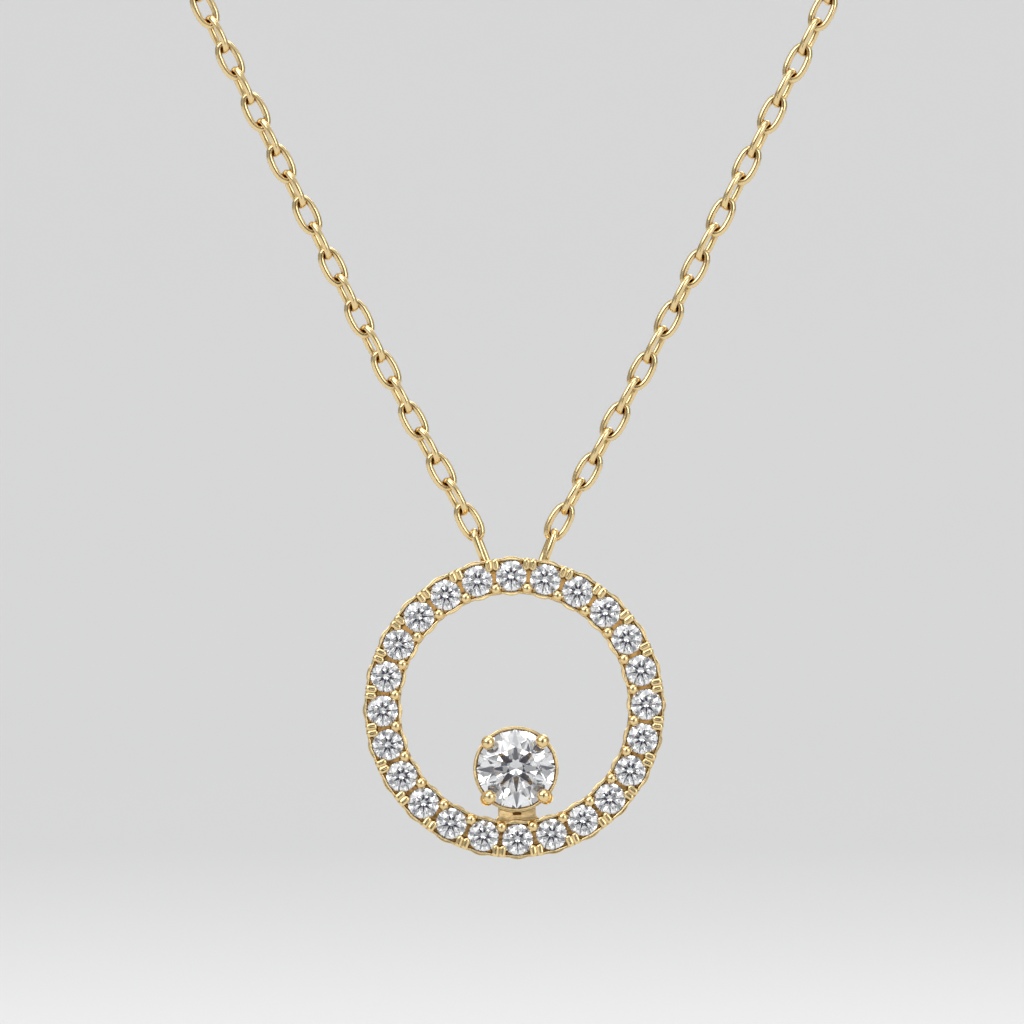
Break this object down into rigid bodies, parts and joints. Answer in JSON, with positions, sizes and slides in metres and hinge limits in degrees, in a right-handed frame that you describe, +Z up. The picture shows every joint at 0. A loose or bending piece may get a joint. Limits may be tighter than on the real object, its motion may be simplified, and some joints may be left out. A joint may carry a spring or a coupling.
{
  "type": "diamond pendant necklace",
  "caption": "Open circle pendant set with small round stones and a larger round stone low inside it, hung from an oval cable chain.",
  "frame": {"origin": "the nape, in the middle of the clasp, where the worn chain hangs", "axes": "+X the wearer's left, which is the right of the front view; -Y the front that the stones face; +Z up"},
  "size_m": [0.0982, 0.1024, 0.1199],
  "materials": {
    "gold": "polished yellow gold",
    "diamond": "polished facets"
  },
  "bodies": {
    "chain": {"chain_left": "gold", "chain_right": "gold", "end_link_left": "gold", "end_link_right": "gold", "clasp": "gold", "clasp_end_ring": "gold"},
    "pendant": {"pendant_setting": "gold", "centre_diamond": "diamond", "halo_diamond_01": "diamond", "halo_diamond_02": "diamond", "halo_diamond_03": "diamond", "halo_diamond_04": "diamond", "halo_diamond_05": "diamond", "halo_diamond_06": "diamond", "halo_diamond_07": "diamond", "halo_diamond_08": "diamond", "halo_diamond_09": "diamond", "halo_diamond_10": "diamond", "halo_diamond_11": "diamond", "halo_diamond_12": "diamond", "halo_diamond_13": "diamond", "halo_diamond_14": "diamond", "halo_diamond_15": "diamond", "halo_diamond_16": "diamond", "halo_diamond_17": "diamond", "halo_diamond_18": "diamond", "halo_diamond_19": "diamond", "halo_diamond_20": "diamond", "halo_diamond_21": "diamond", "halo_diamond_22": "diamond", "halo_diamond_23": "diamond", "halo_diamond_24": "diamond"}
  },
  "joints": [
    {"name": "pendant_swing", "type": "hinge", "parent": "chain", "child": "pendant", "pos_m": [0, -0.099, -0.1059], "axis": [1, 0, 0], "range_deg": [-30, 60]}
  ]
}
